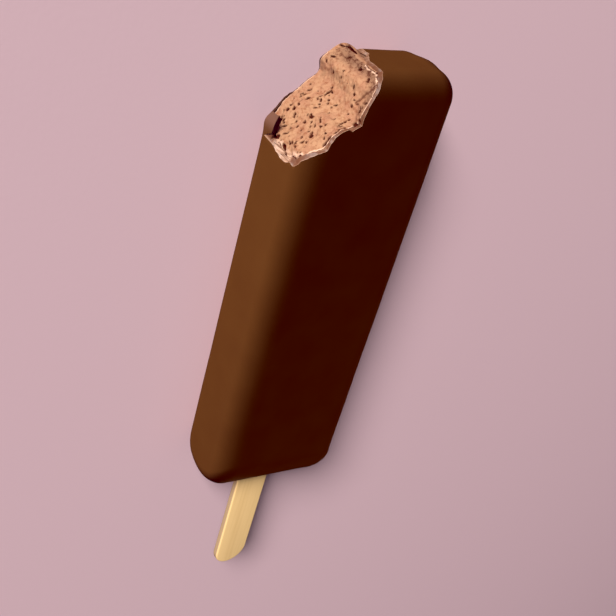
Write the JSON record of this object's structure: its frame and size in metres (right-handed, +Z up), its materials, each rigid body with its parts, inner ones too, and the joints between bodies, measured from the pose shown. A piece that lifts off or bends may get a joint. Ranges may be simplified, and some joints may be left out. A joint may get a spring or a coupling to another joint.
{
  "type": "ice cream bar",
  "caption": "Chocolate-coated ice cream bar on a flat wooden stick, lying on its back with one top corner bitten off.",
  "frame": {"origin": "on the floor, under the middle of the bar and stick taken together", "axes": "+Y along the bar from the stick to the tip, +Z up through the bar's wide face, +X to the right of the bite"},
  "size_m": [0.0376, 0.153, 0.0195],
  "materials": {
    "chocolate_coating": "satin dark chocolate coating",
    "ice_cream": "matt porous ice cream",
    "stick": "plain sanded birch"
  },
  "bodies": {
    "root": {"chocolate_coating": "chocolate_coating", "ice_cream": "ice_cream", "stick": "stick"}
  },
  "joints": []
}
